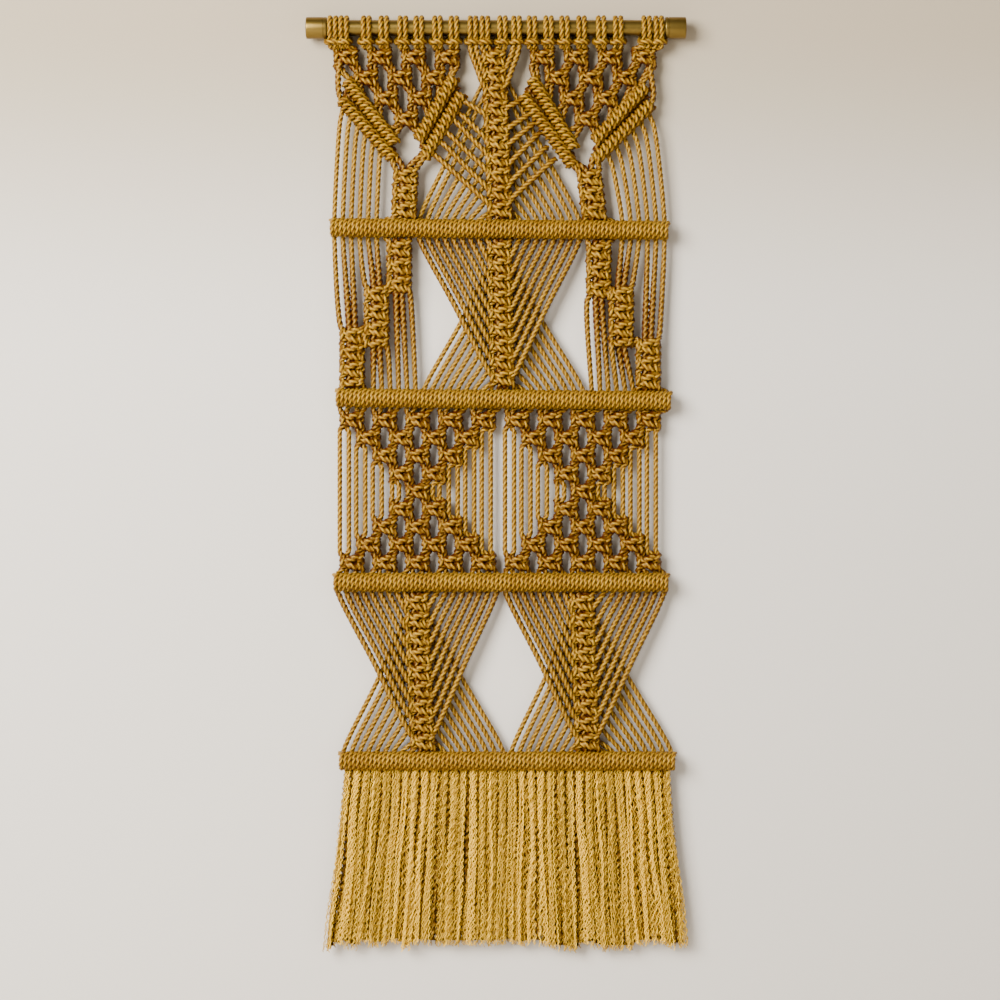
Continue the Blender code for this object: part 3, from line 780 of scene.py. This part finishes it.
def fibre_tree():
    """Crimped fibres round each curve, every one with its own length, place and waves."""
    group, tree, value = geometry_tree("crimped_fibres", (
        ("Count", "Int"), ("Spread", "Float"), ("Crimp", "Float"), ("Crimp Length", "Float"),
        ("Radius", "Float"), ("Points", "Int"), ("Material", "Material")))
    copies = tree.add("GeometryNodeDuplicateElements", {"domain": "SPLINE"},
                      {"Geometry": value["Geometry"], "Amount": value["Count"]})[0]
    ends = tree.add("FunctionNodeRandomValue", {"data_type": "FLOAT"},
                    {2: FIBRE_SHORTEST, 3: 1.0, "Seed": 2})[0]
    copies = tree.add("GeometryNodeTrimCurve", {"mode": "FACTOR"}, {"Curve": copies, "End": ends})[0]
    route = tree.add("GeometryNodeResampleCurve", {"mode": "COUNT"},
                     {"Curve": copies, "Count": value["Points"]})[0]
    which = tree.add("GeometryNodeCurveOfPoint")[0]
    place = tree.add("GeometryNodeSplineParameter")
    around = tree.random(5, which) * TURN
    reach = tree.random(6, which) ** 0.5
    phase = tree.random(8, which)
    pace = tree.random(9, which, 0.6, 1.3)
    wave = place[1] * TURN * pace / value["Crimp Length"] + phase * TURN
    crimp = value["Crimp"] * tree.random(10, which, 0.5, 1.5)
    wander = tree.math("SINE", place[0] * 5.0 + phase * 40.0) * value["Spread"] * 0.25
    crimp = tree.add("ShaderNodeCombineXYZ", None, {
        0: tree.math("SINE", wave) * crimp + wander, 1: tree.math("COSINE", wave) * crimp})[0]
    thick = tree.add("GeometryNodeInputRadius")[0]
    open_out = value["Spread"] * reach * thick * (0.5 + place[0] * 0.5)
    aside = tree.add("ShaderNodeCombineXYZ", None, {
        0: open_out * tree.math("COSINE", around), 1: open_out * tree.math("SINE", around)})[0]
    offset = tree.add("ShaderNodeVectorMath", {"operation": "ADD"}, {0: aside, 1: crimp})[0]
    route = tree.add("GeometryNodeSetPosition", None, {"Geometry": route, "Offset": offset})[0]
    # painted shade: fibres that face the front or back are lighter and those at a lock's sides
    # darker, to round each lock, times a random tone of each fibre
    facing = tree.math("ABSOLUTE", tree.math("SINE", around))
    shade = (0.45 + facing * reach * 0.55) * tree.random(12, which, 0.2, 1.4)
    route = tree.store(route, "ply", shade)
    ring = tree.add("GeometryNodeCurvePrimitiveCircle", {"mode": "RADIUS"},
                    {"Resolution": 3, "Radius": value["Radius"]})[0]
    mesh = tree.add("GeometryNodeCurveToMesh", None,
                    {"Curve": route, "Profile Curve": ring, "Fill Caps": True})[0]
    finish_geometry(tree, mesh, value["Material"])
    return group


# ---------------------------------------------------------------- making the pieces
def in_metres(point):
    """A layout point as Blender's x, y, z."""
    x, y, drop = point
    return (x * METRE, y * METRE, -drop * METRE)


def add_object(name, data):
    """A new object of the scene, at the origin."""
    made = bpy.data.objects.new(name, data)
    bpy.context.scene.collection.objects.link(made)
    return made


def curves_object(name, routes):
    """A curve object with one line for each route."""
    data = bpy.data.curves.new(name, "CURVE")
    data.dimensions = "3D"
    for route in routes:
        path = smooth_path(route)
        line = data.splines.new("POLY")
        line.points.add(len(path) - 1)
        for point, (place, swell) in zip(line.points, path):
            point.co = (*in_metres(place), 1.0)
            point.radius = swell
    return add_object(name + "_route", data)


def run_tree(name, source, group, values):
    """The mesh that a geometry tree makes of an object, as a plain object."""
    modifier = source.modifiers.new("tree", "NODES")
    modifier.node_group = group
    for item in group.interface.items_tree:
        if item.in_out == "INPUT" and item.name in values:
            modifier[item.identifier] = values[item.name]
    graph = bpy.context.evaluated_depsgraph_get()
    mesh = bpy.data.meshes.new_from_object(source.evaluated_get(graph), depsgraph=graph)
    mesh.name = name
    made = add_object(name, mesh)
    bpy.data.objects.remove(source, do_unlink=True)
    return made


def group_once(name, build):
    """A node group, built the first time it is asked for."""
    return bpy.data.node_groups.get(name) or build()


def material_once(name, build):
    """A material, built the first time it is asked for."""
    return bpy.data.materials.get(name) or build(bpy.context.scene.hanging)


def twist_cords(name, routes, nodes=(), coarse=1.0, thick=1.0, lay=1.0):
    """Make a piece of twisted cord along the routes, in place of the named solids."""
    settings = bpy.context.scene.hanging
    made = run_tree(name, curves_object(name, routes), group_once("twisted_cord", cord_tree), {
        "Radius": settings.cord_radius * thick, "Twist": settings.cord_twist * lay,
        "Step": settings.cord_step * coarse, "Groove": settings.cord_groove,
        "Material": material_once("twisted_cord", cord_material)})
    settle(made, nodes)


def settle(made, nodes=()):
    """Hang a piece on the frame's body and hide the solids that it stands for."""
    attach(made, "root")
    if nodes:
        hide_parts(*nodes)


def plane(name, corners):
    """A flat sheet for the stage."""
    mesh = bpy.data.meshes.new(name)
    mesh.from_pydata(corners, [], [(0, 1, 2, 3)])
    return add_object(name, mesh)


def turned_piece(name, profile, finish, sides=96):
    """A smooth solid turned about the rod's axis, from x and radius in millimetres."""
    verts, faces = [], []
    for x, radius in profile:
        for i in range(sides):
            angle = TURN * i / sides
            verts.append((x * METRE, radius * METRE * math.cos(angle),
                          radius * METRE * math.sin(angle)))
    for row in range(len(profile) - 1):
        for i in range(sides):
            j = (i + 1) % sides
            faces.append((row * sides + i, row * sides + j,
                          (row + 1) * sides + j, (row + 1) * sides + i))
    faces.append(tuple(range(sides))[::-1])
    faces.append(tuple(range((len(profile) - 1) * sides, len(profile) * sides)))
    mesh = bpy.data.meshes.new(name)
    mesh.from_pydata(verts, [], faces)
    mesh.validate()
    if profile[0][0] > profile[-1][0]:
        mesh.flip_normals()
    mesh.shade_smooth()
    mesh.set_sharp_from_angle(angle=math.radians(40))
    mesh.materials.append(finish)
    return add_object(name, mesh)


def quarter_turn():
    """The angles of a rounded edge."""
    return [math.radians(degrees) for degrees in range(0, 91, 15)]


def cap_profile(side, low, high):
    """A cap's outline: a rolled inner lip, a shallow groove and a soft outer edge."""
    inner = abs(high[0] if side < 0 else low[0]) / METRE
    outer = abs(low[0] if side < 0 else high[0]) / METRE
    radius = (high[2] - low[2]) / 2 / METRE
    points = [(inner, ROD_RADIUS + 0.2)]
    for angle in quarter_turn():
        points.append((inner + CAP_LIP - CAP_LIP * math.cos(angle),
                       radius - CAP_LIP + CAP_LIP * math.sin(angle)))
    for x, depth in CAP_GROOVE:
        points.append((inner + x, radius - depth))
    for angle in quarter_turn():
        points.append((outer - CAP_EDGE + CAP_EDGE * math.sin(angle),
                       radius - CAP_EDGE + CAP_EDGE * math.cos(angle)))
    return [(side * x, r) for x, r in points]


def length_prop(name, description, default):
    """A size in metres that a user may change."""
    return bpy.props.FloatProperty(name=name, description=description, default=default,
                                   unit="LENGTH")


def share_prop(name, description, default):
    """A share of something that a user may change."""
    return bpy.props.FloatProperty(name=name, description=description, default=default,
                                   subtype="FACTOR")


def count_prop(name, description, default):
    """A count that a user may change."""
    return bpy.props.IntProperty(name=name, description=description, default=default, min=1)


def colour_prop(name, description, default):
    """A colour that a user may change."""
    return bpy.props.FloatVectorProperty(name=name, description=description, default=default,
                                         subtype="COLOR")


class HangingSettings(bpy.types.PropertyGroup):
    """Sizes and colours of the hanging."""

    cord_radius: length_prop("Cord radius", "From a cord's middle to the top of a ply", 0.0027)
    cord_twist: length_prop("Twist", "Length of one full turn of the three plies", 0.0183)
    cord_step: length_prop("Step", "Length between two rings of a cord's mesh", 0.0026)
    cord_groove: share_prop("Groove", "Depth of the grooves between plies, in radii", 0.36)
    cord_warm: colour_prop("Warm ochre", "Deeper colour of the cord", (0.190, 0.090, 0.004))
    cord_pale: colour_prop("Pale ochre", "Lighter colour of the cord", (0.335, 0.186, 0.012))
    cord_light: colour_prop("Fibre light", "Colour of single raised fibres", (0.56, 0.32, 0.018))
    # the colour of painted shade: deep in the grooves between plies, in knots and at the sides of the
    # fringe's locks
    painted_shade_colour: colour_prop("Painted shade colour", "Colour deep between the plies",
                               (0.045, 0.007, 0.0003))
    # how far the painted shade in the grooves goes
    groove_shade: share_prop("Groove shade", "How far the grooves darken", 1.0)
    fringe_warm: colour_prop("Fringe warm", "Deeper colour of the loose fibres", (0.26, 0.14, 0.006))
    fringe_pale: colour_prop("Fringe pale", "Lighter colour of the loose fibres", (1.0, 0.60, 0.03))
    brass_bright: colour_prop("Bright brass", "Polished brass", (0.21, 0.135, 0.029))
    brass_dull: colour_prop("Dull brass", "Slightly tarnished brass", (0.125, 0.076, 0.014))
    fibres: count_prop("Fibres", "Loose fibres in each lock of the fringe", 24)
    fibre_points: count_prop("Fibre points", "Rings in the mesh of each fibre", 96)
    fibre_radius: length_prop("Fibre radius", "From a loose fibre's middle to its edge", 0.00043)
    fibre_spread: length_prop("Spread", "How far a lock's fibres spread from its middle", 0.0056)
    crimp: length_prop("Crimp", "How far a fibre's waves stray from its line", 0.0010)
    crimp_length: length_prop("Crimp length", "Length of one wave of a fibre", 0.0075)


class HANGING_OT_rod(bpy.types.Operator):
    """Turn the brass rod and its two caps"""
    bl_idname = "hanging.rod"
    bl_label = "Rod and caps"

    def execute(self, context):
        brass = material_once("brushed_brass", brass_material)
        low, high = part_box("brass_rod")
        ends = [low[0] / METRE, high[0] / METRE]
        radius = (high[2] - low[2]) / 2 / METRE
        rod = turned_piece("rod", [(ends[0], radius), (ends[1], radius)], brass)
        settle(rod, ["brass_rod"])
        for side, name, node in ((-1, "cap_left", "end_cap_left"), (1, "cap_right", "end_cap_right")):
            settle(turned_piece(name, cap_profile(side, *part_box(node)), brass), [node])
        return {"FINISHED"}


class HANGING_OT_heads(bpy.types.Operator):
    """Tie the twenty larks' heads round the rod"""
    bl_idname = "hanging.heads"
    bl_label = "Larks' heads"

    def execute(self, context):
        twist_cords("larks_heads", [head_route(x) for x in HEADS_X])
        return {"FINISHED"}


class HANGING_OT_top_band(bpy.types.Operator):
    """Tie the V nets, their slanting bars and the cords that drop from them"""
    bl_idname = "hanging.top_band"
    bl_label = "Top band"

    def execute(self, context):
        twist_cords("v_nets", v_net_routes(-1) + v_net_routes(1), ["panel_upper"])
        slants = []
        for seed, (x0, drop0, x1, drop1) in enumerate(SLANTS.values()):
            start, end = (x0, SLANT_Y, drop0), (x1, SLANT_Y, drop1)
            slants.append(winding(start, end, SLANT_RADIUS, SLANT_PITCH, seed, WRAP_SWELL))
            slants.append([(*start, WRAP_CORE), (*end, WRAP_CORE)])
        twist_cords("slanting_bars", slants)
        twist_cords("v_edges", v_edge_routes())
        return {"FINISHED"}


class HANGING_OT_leaves(bpy.types.Operator):
    """Tie the four leaves: a braid each, with cords in over the front and out behind"""
    bl_idname = "hanging.leaves"
    bl_label = "Leaves"

    def execute(self, context):
        for name in LEAVES:
            twist_cords(name, leaf_routes(name))
        return {"FINISHED"}


class HANGING_OT_ladders(bpy.types.Operator):
    """Tie the stairs of small braids at both sides of the second band"""
    bl_idname = "hanging.ladders"
    bl_label = "Ladders"

    def execute(self, context):
        twist_cords("ladders", stair_routes())
        return {"FINISHED"}


class HANGING_OT_nets(bpy.types.Operator):
    """Tie the two hourglass nets of the third band"""
    bl_idname = "hanging.nets"
    bl_label = "Hourglass nets"

    def execute(self, context):
        twist_cords("net_left", hourglass_routes(NET_X[0], 0), ["panel_lower"])
        twist_cords("net_right", hourglass_routes(NET_X[1], 20))
        return {"FINISHED"}


class HANGING_OT_bars(bpy.types.Operator):
    """Wrap the four horizontal hitch bars"""
    bl_idname = "hanging.bars"
    bl_label = "Hitch bars"

    def execute(self, context):
        bars = []
        radius = BAR_RADIUS - BAR_SWELL * CORD_RADIUS
        turn = BAR_TURN * METRE * math.hypot(TURN * radius, BAR_PITCH)
        lay = 3 * turn / BAR_PLIES / context.scene.hanging.cord_twist
        for seed, (left, right, drop_left, drop_right) in enumerate(BARS, FIRST_BAR_SEED):
            bars.append(winding((left + BAR_INSET, BAR_Y, drop_left),
                                (right - BAR_INSET, BAR_Y, drop_right),
                                radius, BAR_PITCH, seed, BAR_SWELL))
            bars.append([(left + CORE_INSET, BAR_Y, drop_left, BAR_CORE),
                         (right - CORE_INSET, BAR_Y, drop_right, BAR_CORE)])
        twist_cords("hitch_bars", bars, lay=lay)
        return {"FINISHED"}


class HANGING_OT_fringe(bpy.types.Operator):
    """Unravel the cord ends below the last bar"""
    bl_idname = "hanging.fringe"
    bl_label = "Fringe"

    def execute(self, context):
        settings = context.scene.hanging
        shake = random.Random(11)
        thirds, cores = ([], [], []), []
        for i in range(LOCKS):
            lock = lock_route((i + 0.5) / LOCKS, shake)
            thirds[i * 3 // LOCKS].append(lock)
            cores.append(core_route(lock))
            if i:                 # and one more halfway to the core before it
                cores.insert(-1, [tuple(lerp(a, b, 0.5) for a, b in zip(*pair))
                                  for pair in zip(cores[-2], cores[-1])])
        twist_cords("fringe_cores", cores, coarse=CORE_COARSE, thick=CORE_THICK)
        for name, locks, nodes in zip(("fringe_left", "fringe_middle", "fringe_right"), thirds,
                                      (["fringe"], [], [])):
            made = run_tree(name, curves_object(name, locks),
                            group_once("crimped_fibres", fibre_tree), {
                                "Count": settings.fibres, "Spread": settings.fibre_spread,
                                "Crimp": settings.crimp, "Crimp Length": settings.crimp_length,
                                "Radius": settings.fibre_radius, "Points": settings.fibre_points,
                                "Material": material_once("loose_fibre", fibre_material)})
            settle(made, nodes)
        return {"FINISHED"}


class HANGING_OT_stage(bpy.types.Operator):
    """Set the pale wall and floor, the lights and the camera"""
    bl_idname = "hanging.stage"
    bl_label = "Stage"

    def execute(self, context):
        wide = STAGE_REACH
        wall = plane("wall", [(-wide, WALL_Y, FLOOR_Z), (wide, WALL_Y, FLOOR_Z),
                              (wide, WALL_Y, WALL_TOP), (-wide, WALL_Y, WALL_TOP)])
        wall.data.materials.append(stage_material("wall_paint", WALL_PAINT, True))
        floor = plane("floor", [(-wide, -wide, FLOOR_Z), (wide, -wide, FLOOR_Z),
                                (wide, wide, FLOOR_Z), (-wide, wide, FLOOR_Z)])
        floor.data.materials.append(stage_material("floor_paint", FLOOR_PAINT, False))
        for name, place, size, power in LAMPS:
            light = bpy.data.lights.new(name, "AREA")
            light.size, light.energy = size, power
            lamp = add_object(name, light)
            lamp.location = place
            lamp.rotation_euler = (AIM - Vector(place)).to_track_quat("-Z", "Y").to_euler()
        world = bpy.data.worlds.new("soft_room")
        world.use_nodes = True
        sky = Tree(world.node_tree)
        height = sky.add("ShaderNodeSeparateXYZ", None, {0: sky.add("ShaderNodeTexCoord")[0]})[2]
        shade = sky.add("ShaderNodeValToRGB", {"stops": SKY}, {0: height * 0.5 + 0.5})[0]
        world.node_tree.links.new(shade.socket, world.node_tree.nodes["Background"].inputs[0])
        context.scene.world = world
        lens = bpy.data.cameras.new("camera")
        lens.lens, lens.sensor_width = LENS, SENSOR
        camera = add_object("camera", lens)
        camera.location = AIM - Vector((0.0, VIEW_WIDTH * LENS / SENSOR, 0.0))
        camera.rotation_euler = (math.pi / 2, 0.0, 0.0)
        context.scene.camera = camera
        return {"FINISHED"}


class HANGING_PT_panel(bpy.types.Panel):
    """The hanging's sizes, colours and pieces"""
    bl_idname = "HANGING_PT_panel"
    bl_label = "Macrame wall hanging"
    bl_space_type = "VIEW_3D"
    bl_region_type = "UI"
    bl_category = "Hanging"

    def draw(self, context):
        for name in HangingSettings.__annotations__:
            self.layout.prop(context.scene.hanging, name)
        for operator in OPERATORS:
            self.layout.operator(operator.bl_idname)


OPERATORS = (HANGING_OT_rod, HANGING_OT_heads, HANGING_OT_top_band, HANGING_OT_leaves,
             HANGING_OT_ladders, HANGING_OT_nets, HANGING_OT_bars, HANGING_OT_fringe,
             HANGING_OT_stage)
CLASSES = (HangingSettings, *OPERATORS, HANGING_PT_panel)


def register():
    for each in CLASSES:
        bpy.utils.register_class(each)
    bpy.types.Scene.hanging = bpy.props.PointerProperty(type=HangingSettings)


def unregister():
    del bpy.types.Scene.hanging
    for each in reversed(CLASSES):
        bpy.utils.unregister_class(each)


def main():
    """Make every piece."""
    register()
    for operator in OPERATORS:
        group, name = operator.bl_idname.split(".")
        getattr(getattr(bpy.ops, group), name)()


if __name__ == "__main__":
    main()
